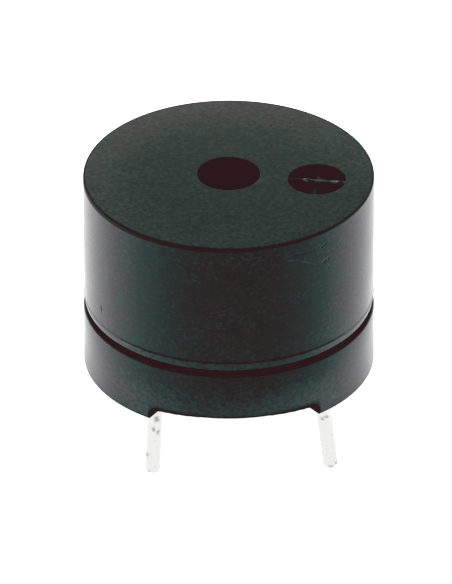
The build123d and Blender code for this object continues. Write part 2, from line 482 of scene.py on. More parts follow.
@dataclass
class Skin:
    """The plastic at a point, while its marks are laid over it one by one.

    x, y and z are the point's place and along is its distance round the wall from the front, all in
    millimetres. wall and face say how far it belongs to either. cloud is broad noise around 0 and speck
    is fine noise. tone, rough and height are what the shader gets.
    """

    x: Reading
    y: Reading
    z: Reading
    along: Reading
    wall: Reading
    face: Reading
    cloud: Reading
    speck: Reading
    tone: Reading
    rough: Reading
    height: Reading

    def lay(self, mask: Reading, tone: float = 0.0, rough: float = 0.0, height: float = 0.0) -> None:
        """Lays one mark over the plastic.

        Args:
            mask: How much of the mark is at the point.
            tone: What it adds to the tone.
            rough: What it adds to the roughness.
            height: What it adds to the relief.
        """
        for name, gain in (("tone", tone), ("rough", rough), ("height", height)):
            if gain:
                setattr(self, name, getattr(self, name) + mask * gain)


@dataclass(frozen=True)
class Stroke:
    """A scratch or smear on the round wall.

    start and end are its ends, as bearing from the front in degrees and height in millimetres. width is
    half its width in millimetres, and weight says how strongly it shows.
    """

    start: tuple[float, float]
    end: tuple[float, float]
    width: float
    weight: float
    mark: Mark

    def mask(self, skin: Skin, radius: float) -> Reading:
        """How much of the stroke is at a point.

        Args:
            skin: The plastic at the point.
            radius: The wall's radius in millimetres.

        Returns:
            The stroke's mask, from 0 to its weight.
        """
        s0, z0 = math.radians(self.start[0]) * radius, self.start[1]
        s1, z1 = math.radians(self.end[0]) * radius, self.end[1]
        run, rise = s1 - s0, z1 - z0
        square = run * run + rise * rise
        off_s, off_z = skin.along - s0, skin.z - z0
        share = (off_s * (run / square) + off_z * (rise / square)).high_of(0.0).low_of(1.0)
        away = Reading.length(off_s - share * run, off_z - share * rise)
        return away.ease(self.width, self.width * 0.3) * self.weight


@dataclass(frozen=True)
class ShadeEdge:
    """A narrow strip of painted shade along an outer edge, matt and dark.

    It lies between the heights low and high, outside the radius inner, all in millimetres. It starts tilt
    higher for each millimetre to the right, its circle lies shift towards the front, and it loses the
    share fade at both sides.
    """

    low: float
    high: float
    inner: float
    tilt: float = 0.0
    shift: float = 0.0
    fade: float = 0.0

    def mask(self, skin: Skin) -> Reading:
        """How much of the strip is at a point.

        Args:
            skin: The plastic at the point.

        Returns:
            The strip's mask, from 0 to 1.
        """
        x, y, z = skin.x, skin.y, skin.z
        above = (z - x * self.tilt).ease(self.low - SOFT, self.low + SOFT)
        below = z.ease(self.high + SOFT, self.high - SOFT)
        outer = Reading.length(x, y + self.shift).ease(self.inner - 1.5 * SOFT, self.inner + 1.5 * SOFT)
        return above * below * outer * (1.0 - abs(x).ease(2.5, 5.6) * self.fade)


@dataclass(frozen=True)
class ShadeNotch:
    """The same along the edge of the notches between the lugs.

    half is half the notch's width, measured round the wall of this radius, top its height, corner the
    rounding of its upper corners and width that of the strip, all in millimetres.
    """

    half: float
    top: float
    corner: float
    width: float = 0.08
    radius: float = 6.0

    def mask(self, skin: Skin) -> Reading:
        """How much of the strip is at a point.

        Args:
            skin: The plastic at the point.

        Returns:
            The strip's mask, from 0 to 1.
        """
        round_wall = abs(skin.x).math("ARCTAN2", abs(skin.y)) * self.radius
        over = (round_wall - (self.half - self.corner)).high_of(0.0)
        above = (skin.z - (self.top - self.corner)).high_of(0.0)
        away = Reading.length(over, above) - self.corner
        low = skin.z.ease(self.top + 0.3, self.top + 0.2)
        return away.ease(self.width + SOFT, self.width - SOFT) * low


@dataclass(frozen=True, kw_only=True)
class MouldedBlack:
    """Black moulded plastic: a satin wall with a drawn grain, a matt face and the marks of handling.

    Lengths are in millimetres. The face starts at face_height, and the wall's radius places the strokes.
    smears are broad places where the gloss is lost, each as bearing, height, reach round and reach up,
    and edges are strips of painted shade along the edges, matt and dark. Under band_reflection_height the
    wall is painted paler, a painted reflection; edge_sheen is painted sheen that pales the face towards its
    edge, and foot_sheen the same on the wall towards its foot. rubs are painted highlights on the crest of
    the mark's bar, each as distance from the axis, half length and weight. The bar runs along bar_turn, in
    degrees, and the other one crosses it at cross_at. wall_grain is the strength of the drawn grain all
    round and what is added in front. Reddish places are warm, greenish ones cool and the strips of
    painted shade matt.
    """

    name: str
    face_height: float
    radius: float
    strokes: tuple[Stroke, ...]
    smears: tuple[tuple[float, float, float, float], ...]
    edges: tuple[ShadeEdge | ShadeNotch, ...]
    band_reflection_height: float | None = None
    edge_sheen: float = 0.0
    foot_sheen: float = 0.0
    bar_turn: float = 0.0
    crest_highlights: tuple[tuple[float, float, float], ...] = ()
    cross_at: float = 0.0
    wall_grain: tuple[float, float] = (0.06, 0.025)
    wall_cloud: float = 0.028
    face_grain: float = 0.12
    face_cloud: float = 0.012
    face_tone: float = 0.0065
    wall_rough: float = 0.28
    face_rough: float = 0.46
    warm: Colour = (0.0115, 0.006, 0.0055)
    cool: Colour = (0.0035, 0.0105, 0.0075)
    matt: Colour = (0.034, 0.0145, 0.012)
    slot: ClassVar[str] = "moulded_black"

    def make(self) -> Material:
        """Builds the material.

        Returns:
            The material.
        """
        paint = Paint(self.name)
        skin = self.bare(paint)
        self.lay_smears(skin)
        self.lay_strokes(skin)
        self.lay_sheen(skin)
        if self.crest_highlights:
            self.lay_crest_highlights(skin)
        paint.set("IOR", 1.46)
        paint.set("Specular IOR Level", 0.17)
        paint.relief(skin.height, 0.005)
        # Painted shade: the strips along the rim, the foot's lower edge and the notches are covered with a
        # matt dark diffuse colour.
        worn = reduce(Reading.high_of, [strip.mask(skin) for strip in self.edges])
        paint.cover(worn, paint.add("ShaderNodeBsdfDiffuse", values={"Color": self.matt}))
        hue = paint.noise(0.5, shift=5.1).ease(0.36, 0.64)
        grey = paint.blend(skin.tone.high_of(0.0005), BLACK, WHITE)
        colour = paint.blend(1.0, grey, paint.blend(hue, self.warm, self.cool), "ADD")
        return paint.finish(colour, skin.rough.high_of(0.1))

    def bare(self, paint: Paint) -> Skin:
        """The plastic as it comes from the mould.

        Args:
            paint: The material's nodes.

        Returns:
            The plastic, with no marks yet.
        """
        x, y, z = paint.place()
        face = z.ease(self.face_height - 0.015, self.face_height + 0.01)
        wall = 1.0 - face
        drawn = paint.noise(0.085, shift=1.3, detail=2.0, stretch=(2.0, 2.0, 1.5)) - 0.5
        cloud = paint.noise(1.3, shift=3.1, detail=4.0, stretch=(1.8, 1.8, 1.0)) - 0.5
        speck = paint.noise(0.16, shift=7.7, detail=2.0) - 0.5
        all_round, in_front = self.wall_grain
        grain = drawn * (y.ease(2.0, -3.0) * in_front + all_round) + cloud * self.wall_cloud
        grains = speck * self.face_grain + cloud * self.face_cloud + self.face_tone
        along = x.math("ARCTAN2", y * -1.0) * self.radius
        tone = wall * grain + face * grains - 0.0005
        rough = wall * (cloud * 0.12 + self.wall_rough) + face * self.face_rough + speck * 0.05
        height = wall * (drawn * 0.6 + speck * 0.2) + face * speck
        return Skin(x, y, z, along, wall, face, cloud, speck, tone, rough, height)

    def lay_smears(self, skin: Skin) -> None:
        """Dulls the broad smears, and paints the wall under the parting line paler, a painted reflection.

        Args:
            skin: The plastic.
        """
        spots = []
        for bearing, height, round_reach, up_reach in self.smears:
            off = (skin.along - math.radians(bearing) * self.radius) / round_reach
            rise = (skin.z - height) / up_reach
            spots.append((Reading.squares(off, rise) + skin.cloud * 1.5).ease(1.3, 0.2))
        skin.lay(reduce(Reading.high_of, spots) * skin.wall, tone=-0.004, rough=0.12)
        # Painted reflection: the wall under the parting line is made paler.
        if self.band_reflection_height is not None:
            skin.lay(skin.z.ease(self.band_reflection_height, self.band_reflection_height - SOFT), tone=0.014)

    def lay_strokes(self, skin: Skin) -> None:
        """Lays the scratches and smears, each broken up by the fine noise.

        Args:
            skin: The plastic.
        """
        broken = ((skin.speck + 0.5).ease(0.34, 0.52) * 0.75 + 0.25) * skin.wall
        for stroke in self.strokes:
            skin.lay(stroke.mask(skin, self.radius) * broken, *stroke.mark.value)

    def lay_sheen(self, skin: Skin) -> None:
        """Paints sheen: pales the face towards its edge, most of all at the left, and the foot over its
        notches.

        Args:
            skin: The plastic.
        """
        x, y, z, face = skin.x, skin.y, skin.z, skin.face
        if self.edge_sheen:
            # Painted sheen: the face is made paler towards its edge, most at the left and the back, and in
            # front of its middle.
            reach = Reading.squares(x, y)
            edge = reach.ease(5.0, 34.0) * face
            skin.lay(edge * (y * 0.035 - x * 0.05 + 0.6).high_of(0.0), tone=self.edge_sheen)
            skin.lay((1.0 - edge) * face * y.ease(1.0, -3.0), tone=0.007)
            skin.lay(reach * face, height=-1.4)
        if self.foot_sheen:
            # Painted sheen: the foot is made paler towards its bottom over the notches, and more so right of
            # their middle.
            off_edge = z.ease(0.62, 0.82).high_of(abs(x).ease(3.45, 3.6))
            skin.lay(off_edge * z.ease(2.5, 0.5) * abs(x).ease(5.4, 3.0), tone=self.foot_sheen)
            skin.lay(off_edge * z.ease(2.4, 1.2) * abs(x - 2.4).ease(2.4, 0.6), tone=self.foot_sheen / 2)

    def lay_crest_highlights(self, skin: Skin) -> None:
        """Dulls the mark's bars and paints highlights on their crests.

        Args:
            skin: The plastic.
        """
        turn = math.radians(self.bar_turn)
        out = skin.x * math.cos(turn) + skin.y * math.sin(turn)
        side = (skin.y * math.cos(turn) - skin.x * math.sin(turn)) / 0.13
        off_cross = abs(out - self.cross_at)
        beside = abs(side).ease(9.5, 9.0)
        under = self.face_height - skin.z
        lit = (skin.speck + 0.5).ease(0.36, 0.56) * skin.wall
        skin.lay(under.ease(0.4, 0.3) * beside * off_cross.ease(1.3, 1.2) * skin.wall, rough=0.45)
        # Painted highlights: broken pale spots on the crest of the radial bar, and a faint pale line on the
        # crest of the cross bar.
        crest = under.ease(0.11, 0.03) * lit
        for place, length, weight in self.crest_highlights:
            spot = Reading.squares((out - place) / length, side).ease(1.2, 0.3)
            skin.lay(spot * crest, tone=weight * 0.24)
        low_crest = under.ease(0.3, 0.26) * under.ease(0.17, 0.21) * lit
        skin.lay(low_crest * beside * off_cross.ease(0.15, 0.06), tone=0.04)


@dataclass(frozen=True)
class TinnedWire:
    """Tin-plated wire with a film of solder and a cropped tip, bare under tip_height in millimetres.

    patches are places of dull grey patches, each as x, y, z and radius.
    """

    name: str
    patches: tuple[tuple[float, float, float, float], ...]
    tip_height: float = -5.66
    slot: ClassVar[str] = "tinned_wire"

    def make(self) -> Material:
        """Builds the material.

        Returns:
            The material.
        """
        paint = Paint(self.name)
        x, y, z = paint.place()
        lump = paint.noise(0.35, shift=2.0, stretch=(1.0, 1.0, 2.5))
        speck = paint.noise(0.09, shift=9.0, detail=2.0)
        edge = paint.noise(0.14, shift=4.0, detail=2.0) - 0.5
        dull = speck.ease(0.62, 0.72) * 0.35
        for px, py, pz, radius in self.patches:
            away = Reading.length(x - px, y - py, z - pz) + edge * (radius * 3.0)
            dull = dull.high_of(away.ease(radius * 1.2, radius * 0.2) * 0.8)
        dull = dull.high_of(z.ease(self.tip_height + 0.12, self.tip_height + 0.02) * 0.4)
        paint.relief(lump * 0.8 + speck * 0.2, 0.02)
        colour = paint.blend(dull, (0.80, 0.81, 0.79), (0.33, 0.33, 0.34))
        return paint.finish(colour, 0.22 + (lump - 0.5) * 0.25 + dull * 0.25, 1.0)


Mixture = tuple[Reading, Reading, Reading]


class Finish:
    """A finish of two colours. Each kind says how it is mixed."""

    name: str
    low: Colour
    high: Colour
    depth: float
    metal: float = 0.0

    def mix(self, paint: Paint) -> Mixture:
        """The share of the high colour, the roughness and the relief."""
        raise NotImplementedError

    def make(self) -> Material:
        """Builds the material.

        Returns:
            The material.
        """
        paint = Paint(self.name)
        share, rough, height = self.mix(paint)
        paint.relief(height, self.depth)
        return paint.finish(paint.blend(share, self.low, self.high), rough, self.metal)


class Solder(Finish):
    """Soft solder with a faint crinkle and flux stains."""

    name, slot, metal, depth = "soft solder", "solder", 1.0, 0.02
    low, high = (0.72, 0.72, 0.71), (0.46, 0.43, 0.38)

    def mix(self, paint: Paint) -> Mixture:
        """The share of the stains, the roughness and the crinkle."""
        crinkle = paint.noise(0.16, shift=6.0, detail=4.0)
        return paint.noise(0.5, shift=2.4).ease(0.5, 0.7), 0.24 + crinkle * 0.2, crinkle


class PhenolicBoard(Finish):
    """Pressed paper laminate with its fibres."""

    name, depth = "paper laminate", 0.01
    low, high = (0.20, 0.105, 0.038), (0.33, 0.19, 0.075)

    def mix(self, paint: Paint) -> Mixture:
        """The share of the paler paper, the roughness and the fibres."""
        fibre = paint.noise(0.18, shift=8.0, detail=4.0, stretch=(5.0, 1.0, 1.0))
        cloud = paint.noise(1.6, shift=1.0)
        return (fibre * 0.6 + cloud * 0.4).ease(0.35, 0.65), 0.42 + (cloud - 0.5) * 0.3, fibre


class CopperFoil(Finish):
    """Copper foil, tarnished in patches."""

    name, metal, depth = "copper foil", 1.0, 0.004
    low, high = (0.82, 0.42, 0.25), (0.42, 0.20, 0.12)

    def mix(self, paint: Paint) -> Mixture:
        """The share of the tarnish, the roughness and the scratches."""
        tarnish = paint.noise(0.45, shift=3.0, detail=4.0).ease(0.42, 0.68)
        scratch = paint.noise(0.05, shift=5.5, detail=2.0, stretch=(12.0, 1.0, 1.0))
        return tarnish, 0.28 + tarnish * 0.25, scratch


class SealingResin(Finish):
    """Dark sealing resin with a glossy skin and a few sunk spots."""

    name, depth = "sealing resin", 0.05
    low, high = (0.020, 0.014, 0.010), (0.045, 0.030, 0.018)

    def mix(self, paint: Paint) -> Mixture:
        """The share of the thinner resin, the roughness and the skin's waves."""
        wave = paint.noise(0.9, shift=4.4, detail=2.0)
        pit = paint.noise(0.22, shift=1.9, detail=1.0).ease(0.66, 0.74)
        return wave.ease(0.4, 0.6), 0.12 + pit * 0.3 + (wave - 0.5) * 0.1, wave - pit * 0.6


class RoundSteel(Finish):
    """Steel with fine marks round its axis, as turned or rolled parts have, a pitch in millimetres apart."""

    metal, depth = 1.0, 0.003
    pitch: float
    gloss: float

    def mix(self, paint: Paint) -> Mixture:
        """The share of the dull patches, the roughness and the marks."""
        x, y, _ = paint.place()
        ring = (Reading.length(x, y) * (math.tau / self.pitch)).math("SINE") * 0.5 + 0.5
        patch = paint.noise(0.8, shift=6.6, detail=4.0)
        rough = self.gloss + ring * 0.08 + (patch - 0.5) * 0.2
        return patch.ease(0.42, 0.66), rough, ring * 0.5 + patch * 0.5


class PlatedSteel(RoundSteel):
    """Rolled and plated steel."""

    name, pitch, gloss = "plated steel", 0.11, 0.3
    low, high = (0.62, 0.62, 0.60), (0.40, 0.39, 0.37)


class SpringSteel(RoundSteel):
    """Bright spring steel."""

    name, pitch, gloss = "spring steel", 0.07, 0.22
    low, high = (0.52, 0.53, 0.55), (0.38, 0.37, 0.36)


class Ferrite(Finish):
    """Pressed and sintered ferrite, grey-black with open grain."""

    name, depth = "sintered ferrite", 0.008
    low, high = (0.030, 0.030, 0.033), (0.060, 0.058, 0.060)

    def mix(self, paint: Paint) -> Mixture:
        """The share of the paler patches, the roughness and the grain."""
        grain = paint.noise(0.06, shift=3.7)
        return paint.noise(0.9, shift=8.1).ease(0.4, 0.62), 0.62 + (grain - 0.5) * 0.3, grain


@dataclass(frozen=True)
class EnamelledWire:
    """Enamelled copper wire, laid side by side in level rows."""

    name: str = "enamelled copper wire"
    wire: float = 0.08

    def make(self) -> Material:
        """Builds the material.

        Returns:
            The material.
        """
        paint = Paint(self.name)
        _, _, z = paint.place()
        row = abs((z * (math.pi / self.wire)).math("SINE"))
        worn = paint.noise(0.6, shift=2.2)
        lacquer = paint.blend(worn.ease(0.4, 0.65), (0.44, 0.115, 0.028), (0.58, 0.19, 0.06))
        paint.set("Coat Weight", 0.6)
        paint.relief(row, 0.02)
        colour = paint.blend(row.ease(0.0, 0.5), (0.10, 0.02, 0.008), lacquer)
        return paint.finish(colour, 0.30 + (worn - 0.5) * 0.2, 0.55)


@dataclass
class UpperCase:
    """The moulded cup: wall, face, sound hole with its neck, and the sunk polarity mark.

    facet is how high the slope at the parting band's top is, and groove the radius in the parting groove,
    which groove_fade makes shallower past each bearing. rim is the rim's rounding, across and down. root
    is how wide the mark's bars are at their root. radial_crest is the crest of the bar that points to the
    axis, as its width, rounding and drop, and cross_crest is that of the other bar.
    """

    bottom: float = 2.86
    top: float = 8.70
    outer: float = 5.998
    wall: float = 5.975
    parting: float = 3.28
    facet: float = 0.08
    groove: float = 5.94
    groove_fade: Curve = ((34.0, 0.25), (42.0, 0.35), (50.0, 0.4))
    rim: tuple[float, float] = (0.10, 0.12)
    band_inset: float = 0.07
    skirt_bore: float = 5.30
    seat: float = 5.0
    cavity: float = 4.90
    ceiling: float = 7.80
    hole: float = 1.29
    neck: float = 1.79
    neck_bottom: float = 7.0
    mark_distance: float = 3.64
    mark_radius: float = 1.19
    mark_depth: float = 0.45
    mark_turn: float = -10.0
    root: float = 0.34
    radial_crest: tuple[float, float, float] = (0.24, 0.09, 0.03)
    cross_crest: tuple[float, float, float] = (0.20, 0.095, 0.26)

    def make(self) -> Piece:
        """Turns the cup and sinks the mark into its face.

        Returns:
            The finished piece, which stands for its CAD node.
        """
        outline = [
            (self.skirt_bore + 0.1, self.bottom),
            (self.outer - self.band_inset, self.bottom),
            (self.outer, self.parting - self.facet),
            (self.groove, self.parting - 0.02),
            (self.groove, self.parting),
            (self.wall, self.parting + 0.03),
            *self.rim_arc(),
        ]
        mouth = len(outline)
        outline += [(self.hole, self.top), (self.hole, self.neck_bottom)]
        outline += [(self.neck, self.neck_bottom), (self.neck, self.ceiling)]
        outline += [(self.cavity, self.ceiling), (self.cavity, self.seat)]
        outline += [(self.skirt_bore, self.seat), (self.skirt_bore, self.bottom + 0.1)]
        cup = Turning(outline, {1: 0.03, mouth: 0.04, mouth + 4: 0.2}).make()
        self.fade_groove(cup)
        Workbench.cut(cup, self.mark_tool())
        piece = Workbench.settle(cup, "upper_case_shell")
        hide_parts("upper_case")
        return piece

    def rim_arc(self) -> Outline:
        """The rounding from the wall to the face, longer down the wall than across the face.

        Returns:
            Its points, from the wall up.
        """
        across, down = self.rim
        angles = [math.radians(90 * step / 6) for step in range(7)]
        return [(self.wall - across * (1 - math.cos(a)), self.top - down * (1 - math.sin(a))) for a in angles]

    def fade_groove(self, cup: Piece) -> None:
        """Lets the parting groove run out towards both sides, where the mould's halves met closely.

        Args:
            cup: The turned cup.
        """
        Workbench.hold(cup)
        Workbench.edit()
        for bearing, share in self.groove_fade:
            across = math.sin(math.radians(bearing)) * self.groove
            Workbench.pick(
                Pick.POINTS,
                lambda middle: abs(middle.z - self.parting + 0.01) < 0.015
                and self.groove - 0.02 < middle.xy.length < self.groove + 0.03
                and abs(middle.x) > across,
            )
            grow = 1 + share * (self.wall - self.groove) / self.groove
            bpy.ops.transform.resize(value=(grow, grow, 1.0), center_override=(0.0, 0.0, 0.0))
        Workbench.done()

    def mark_tool(self) -> Piece:
        """Makes what is cut away for the mark: a round plug with two grooves that leave the plus standing.

        Returns:
            The cutting tool.
        """
        turn = math.radians(self.mark_turn)
        centre = Vector((self.mark_distance * math.cos(turn), self.mark_distance * math.sin(turn), self.top))
        spare = 0.5
        Workbench.clear()
        bpy.ops.mesh.primitive_cylinder_add(
            vertices=96,
            radius=self.mark_radius * MM,
            depth=(self.mark_depth + spare) * MM,
            location=(centre + UP * (spare - self.mark_depth) / 2) * MM,
        )
        plug = bpy.context.object
        Workbench.cut(plug, self.rib(centre, turn, *self.radial_crest))
        Workbench.cut(plug, self.rib(centre, turn + math.pi / 2, *self.cross_crest))
        return plug

    def rib(
        self, centre: Vector, turn: float, crest: float, rounding: float, drop: float
    ) -> Piece:
        """Makes one bar of the plus: a long block, narrower and rounded at its crest.

        Args:
            centre: The middle of the mark on the face, in millimetres.
            turn: Which way the bar runs, in radians.
            crest: How wide its crest is.
            rounding: How far the crest's edges are rounded.
            drop: How far the crest lies under the face.

        Returns:
            The bar, longer than the mark is wide.
        """
        height = self.mark_depth - drop + 0.2
        Workbench.clear()
        bpy.ops.mesh.primitive_cube_add(
            size=MM,
            location=(centre - UP * (drop + height / 2)) * MM,
            rotation=(0.0, 0.0, turn),
            scale=(3 * self.mark_radius, self.root, height),
        )
        bar = bpy.context.object
        bpy.ops.object.transform_apply(location=False, rotation=False, scale=True)
        Workbench.edit()
        across = Vector((-math.sin(turn), math.cos(turn), 0.0))
        near = 0.01
        high = centre.z - drop - near
        for side in (across, -across):
            Workbench.pick(
                Pick.EDGES,
                lambda middle: middle.z > high and (middle - centre).dot(side) > self.root / 2 - near,
            )
            Workbench.move(-side * (self.root - crest) / 2)
        Workbench.pick(
            Pick.EDGES,
            lambda middle: middle.z > high and abs((middle - centre).dot(across)) > crest / 2 - near,
        )
        bpy.ops.mesh.bevel(offset=rounding * MM, segments=4, affect="EDGES")
        Workbench.done()
        return bar


@dataclass
class LowerCase:
    """The moulded foot: a ring on two lugs, with the spigot that carries the cup.

    A lug is lug high and takes up twice lug_half_angle, in degrees. The roof of the notch between two lugs
    sags by sag at each of the bearings in sags, off its middle, down to a rounded corner.
    """

    outer: float = 5.998
    base_top: float = 2.6
    spigot: float = 5.25
    spigot_top: float = 5.0
    ledge_bore: float = 4.95
    ledge: float = 4.6
    bore: float = 4.6
    recess: float = 5.0
    board_top: float = 1.8
    lug: float = 0.6
    lug_half_angle: float = 54.4
    corner: float = 0.45
    sags: tuple[float, ...] = (14.0, 19.0, 23.0, 27.0, 31.0)
    sag: float = 0.022

    def make(self) -> Piece:
        """Turns the ring and cuts the two notches, whose upper corners are rounded.

        Returns:
            The finished piece, which stands for its CAD node.
        """
        outline = [(self.recess, 0.0), (self.outer, 0.0), (self.outer, self.base_top)]
        outline += [(self.spigot, self.base_top), (self.spigot, self.spigot_top)]
        outline += [(self.ledge_bore, self.spigot_top), (self.ledge_bore, self.ledge)]
        outline += [(self.bore, self.ledge), (self.bore, self.board_top), (self.recess, self.board_top)]
        ring = Turning(outline, {1: 0.05, 2: 0.06, 4: 0.1}).make()
        for middle in (-90.0, 90.0):
            Workbench.cut(ring, self.notch_tool(middle))
        piece = Workbench.settle(ring, "lower_case_shell")
        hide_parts("lower_case")
        return piece

    def notch_tool(self, middle: float) -> Piece:
        """Makes the curved block that is cut away between the lugs.

        Args:
            middle: Where the notch's middle lies round the case, in degrees from the positive pin.

        Returns:
            The cutting tool, with a sagging roof and rounded upper corners.
        """
        half = 90.0 - self.lug_half_angle
        start = math.radians(middle - half)
        inner, outer, low = self.recess - 1.0, self.outer + 1.0, -1.0
        mean = (inner + outer) / 2
        roof = self.lug - 0.2
        Workbench.clear()
        bpy.ops.mesh.primitive_plane_add(
            size=MM,
            location=(heading(start) * mean + UP * (low + self.lug) / 2) * MM,
            rotation=(math.pi / 2, 0.0, start),
        )
        block = bpy.context.object
        block.scale = (outer - inner, self.lug - low, 1.0)
        bpy.ops.object.transform_apply(location=False, rotation=True, scale=True)
        Workbench.edit()
        Workbench.pick_all()
        bpy.ops.mesh.spin(steps=48, angle=math.radians(2 * half), center=(0.0, 0.0, 0.0), axis=-UP)
        Workbench.weld(0.0005)
        straight = heading(math.radians(middle)).xy
        for bearing in self.sags:
            Workbench.pick(
                Pick.POINTS,
                lambda spot: spot.z > roof and math.degrees(spot.xy.angle(straight)) > bearing,
            )
            Workbench.move(UP * -self.sag)
        ends = [heading(math.radians(middle + side * half)).xy * mean for side in (-1.0, 1.0)]
        Workbench.pick(
            Pick.EDGES,
            lambda spot: spot.z > roof and min((spot.xy - end).length for end in ends) < 0.05,
        )
        bpy.ops.mesh.bevel(offset=self.corner * MM, segments=6, affect="EDGES")
        Workbench.done()
        return block


@dataclass
class Pin:
    """A round wire pin, straight through the board, bent a little outwards and rounded at its tip.

    side is 1 on the side of the plus and -1 on the other, across is its x and lean its bend in degrees.
    bend is the height of the bend's corner, and leg the length from there to the tip.
    """

    sign: str
    side: float
    across: float
    lean: float
    radius: float = 0.3
    top: float = 2.0
    bend: float = 0.38
    bend_radius: float = 1.0
    leg: float = 6.045
    tip_round: float = 0.2

    def make(self) -> Piece:
        """Extrudes the wire downwards, spins its bend and goes on to the tip.

        Returns:
            The finished piece, which stands for its CAD node.
        """
        lean = math.radians(self.lean)
        x = self.across
        tangent = self.bend_radius * math.tan(lean / 2)
        Workbench.clear()
        bpy.ops.mesh.primitive_circle_add(
            vertices=48, radius=self.radius * MM, fill_type="NGON", location=(x * MM, 0.0, self.top * MM)
        )
        wire = bpy.context.object
        Workbench.edit()
        Workbench.pick(Pick.FACES, lambda _: True)
        Workbench.extrude((0.0, 0.0, self.bend + tangent - self.top))
        pivot = Vector((x + self.side * self.bend_radius, 0.0, self.bend + tangent)) * MM
        bpy.ops.mesh.spin(steps=6, angle=lean, center=pivot, axis=(0.0, self.side, 0.0))
        along = Vector((self.side * math.sin(lean), 0.0, -math.cos(lean)))
        angles = [math.radians(15 * step) for step in range(6)]
        Workbench.extrude(along * (self.leg - tangent - self.tip_round * math.sin(angles[-1])))
        for before, after in zip(angles, angles[1:]):
            Workbench.extrude(along * self.tip_round * (math.sin(after) - math.sin(before)))
            width = [1 - self.tip_round / self.radius * (1 - math.cos(a)) for a in (before, after)]
            bpy.ops.transform.resize(value=[width[1] / width[0]] * 3)
        Workbench.done()
        piece = Workbench.settle(wire, f"{self.sign}_pin_wire")
        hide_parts(f"{self.sign}_pin")
        return piece


@dataclass
class SolderJoint:
    """A hollow cone of solder between a land and the pin at x across.

    hollow is its curve, each point as how far inwards and how far down from its foot.
    """

    sign: str
    across: float
    pin_radius: float = 0.3
    foot: float = 0.70
    land: float = 0.96
    hollow: Curve = ((0.0, 0.0), (0.06, 0.05), (0.17, 0.11), (0.26, 0.20), (0.32, 0.33), (0.36, 0.50))

    def make(self) -> Piece:
        """Turns the joint from a curved outline.

        Returns:
            The finished piece, which stands for its CAD node.
        """
        outline = [(self.pin_radius, self.land - self.hollow[-1][1]), (self.pin_radius, self.land)]
        outline += [(self.foot - inwards, self.land - down) for inwards, down in self.hollow]
        joint = Turning(outline, {}, 64, (self.across, 0.0)).make()
        piece = Workbench.settle(joint, f"{self.sign}_pin_joint", 60.0)
        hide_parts(f"{self.sign}_pin_solder")
        return piece


@dataclass
class LeadDot:
    """A low dome of solder over the end of a coil lead, which is at place."""

    lead: str
    place: tuple[float, float]
    lead_radius: float = 0.06
    foot: float = 0.44
    land: float = 0.96
    height: float = 0.22

    def make(self) -> Piece:
        """Turns the dome.

        Returns:
            The finished piece, which stands for its CAD node.
        """
        arc = [(math.sin(math.radians(a)), math.cos(math.radians(a))) for a in (90, 70, 50, 32, 16)]
        outline = [(self.lead_radius, self.land - self.height), (self.lead_radius, self.land)]
        outline += [(self.foot * s, self.land - self.height * c) for s, c in arc]
        dome = Turning(outline, {}, 48, self.place).make()
        piece = Workbench.settle(dome, f"{self.lead}_dot", 60.0)
        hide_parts(f"{self.lead}_solder")
        return piece


@dataclass
class PhotoCamera:
    """The camera, where the photograph's was. Angles are in degrees and lengths in millimetres.

    The picture's middle lies down under and left of that point, and the picture is turned by roll. The
    lens is that of a 36 mm sensor.
    """

    azimuth: float = -2.5
    elevation: float = 31.41
    distance: float = 408.9
    target: float = 4.5
    down: float = 1.283
    left: float = 0.118
    roll: float = -0.12
    lens: float = 611.8

    def make(self) -> None:
        """Sets up the scene's camera."""
        a, e = math.radians(self.azimuth), math.radians(self.elevation)
        back = Vector((math.sin(a) * math.cos(e), -math.cos(a) * math.cos(e), math.sin(e)))
        right = heading(a)
        target = UP * self.target
        eye = target + back * self.distance
        aim = target - back.cross(right) * self.down - right * self.left
        data = bpy.data.cameras.new("photo camera")
        data.lens, data.sensor_width = self.lens, 36.0
        data.clip_start, data.clip_end = 0.02, 20.0
        camera = bpy.data.objects.new("photo camera", data)
        bpy.context.scene.collection.objects.link(camera)
        camera.rotation_mode = "QUATERNION"
        camera.location = eye * MM
        facing = (aim - eye).to_track_quat("-Z", "Y")
        camera.rotation_quaternion = facing @ Quaternion(UP, math.radians(self.roll))
        bpy.context.scene.camera = camera


@dataclass
class PhotoGrade:
    """The photograph's own toning: its deepest shadows are a warm maroon, its dark greys lean to teal.

    Each curve holds its points as brightness in and out.
    """

    red: Curve = (
        (0.0, 0.026), (0.02, 0.0235), (0.035, 0.0265), (0.05, 0.0325),
        (0.065, 0.0475), (0.1, 0.092), (0.14, 0.1375),
    )
    green: Curve = ((0.0, 0.0097), (0.01, 0.0097), (0.02, 0.0205), (0.14, 0.14))
    blue: Curve = (
        (0.0, 0.0115), (0.01, 0.0115), (0.02, 0.0218), (0.035, 0.037),
        (0.05, 0.051), (0.062, 0.065), (0.1, 0.108), (0.14, 0.15),
    )

    def make(self) -> None:
        """Sets the view's curves, with plain straight runs between the points."""
        view = bpy.context.scene.view_settings
        view.view_transform = "Standard"
        view.use_curve_mapping = True
        mapping = view.curve_mapping
        mapping.extend = "HORIZONTAL"
        for curve, points in zip(mapping.curves, (self.red, self.green, self.blue)):
            for point, place in zip(curve.points, (points[0], (1.0, 1.0))):
                point.location, point.handle_type = place, "VECTOR"
            for place in points[1:]:
                curve.points.new(*place).handle_type = "VECTOR"
        mapping.update()


